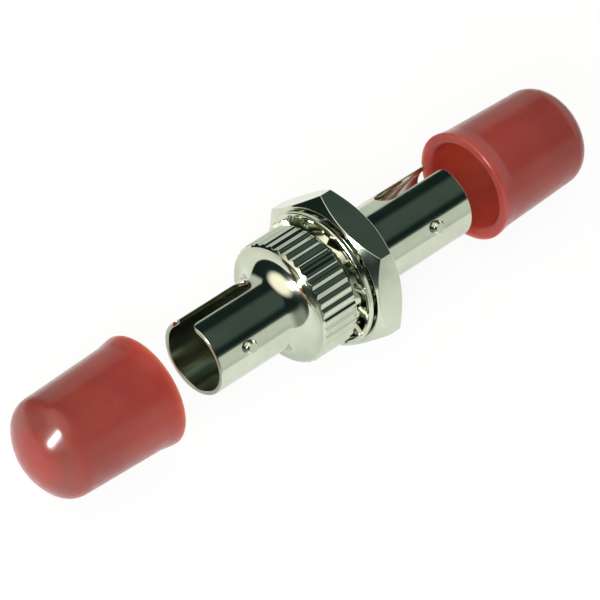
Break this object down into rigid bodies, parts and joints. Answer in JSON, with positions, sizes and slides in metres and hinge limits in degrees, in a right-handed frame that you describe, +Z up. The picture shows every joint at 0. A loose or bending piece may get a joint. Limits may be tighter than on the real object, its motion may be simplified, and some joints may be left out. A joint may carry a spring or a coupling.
{
  "type": "fibre optic adapter",
  "caption": "Bayonet fibre optic bulkhead adapter: slotted barrels, knurled collar, threaded neck with lock washer and hex nut, soft dust caps pulled off its ends.",
  "frame": {"origin": "on the optical axis, in the plane of the collar's rear face, which seats on the front of a panel", "axes": "+X along the optical axis from the front socket to the rear socket, +Z up, with one flat of the hexagon nut facing straight down"},
  "size_m": [0.0638, 0.0154, 0.0134],
  "materials": {
    "nickel_plated_brass": "bright nickel plate on turned brass",
    "plated_spring_steel": "bright nickel plate on stamped spring steel",
    "phosphor_bronze": "fine ground",
    "red_soft_vinyl": "dip-moulded soft vinyl with a satin sheen"
  },
  "bodies": {
    "adapter": {"adapter_body": "nickel_plated_brass", "rear_barrel": "nickel_plated_brass", "front_bayonet_pins": "nickel_plated_brass", "rear_bayonet_pins": "nickel_plated_brass", "sleeve_holder": "nickel_plated_brass", "sleeve_retainer": "nickel_plated_brass", "alignment_sleeve": "phosphor_bronze"},
    "washer": {"lock_washer": "plated_spring_steel"},
    "nut": {"hex_nut": "nickel_plated_brass"},
    "front_cap": {"front_dust_cap": "red_soft_vinyl"},
    "rear_cap": {"rear_dust_cap": "red_soft_vinyl"}
  },
  "joints": [
    {"name": "washer_slide", "type": "slide", "parent": "adapter", "child": "washer", "axis": [1, 0, 0], "range_m": [-0.00063, 0.0025]},
    {"name": "nut_turn", "type": "hinge", "parent": "washer", "child": "nut", "pos_m": [0.00305, 0, 0], "axis": [1, 0, 0], "range_deg": [-285, 1133]},
    {"name": "front_cap_slide", "type": "slide", "parent": "adapter", "child": "front_cap", "axis": [-1, 0, 0], "range_m": [-0.01397, 0.045]},
    {"name": "rear_cap_slide", "type": "slide", "parent": "adapter", "child": "rear_cap", "axis": [1, 0, 0], "range_m": [-0.01076, 0.045]}
  ],
  "couplings": [
    {"joint": "washer_slide", "follows": "nut_turn", "m_per_rad": 0.00012633}
  ]
}
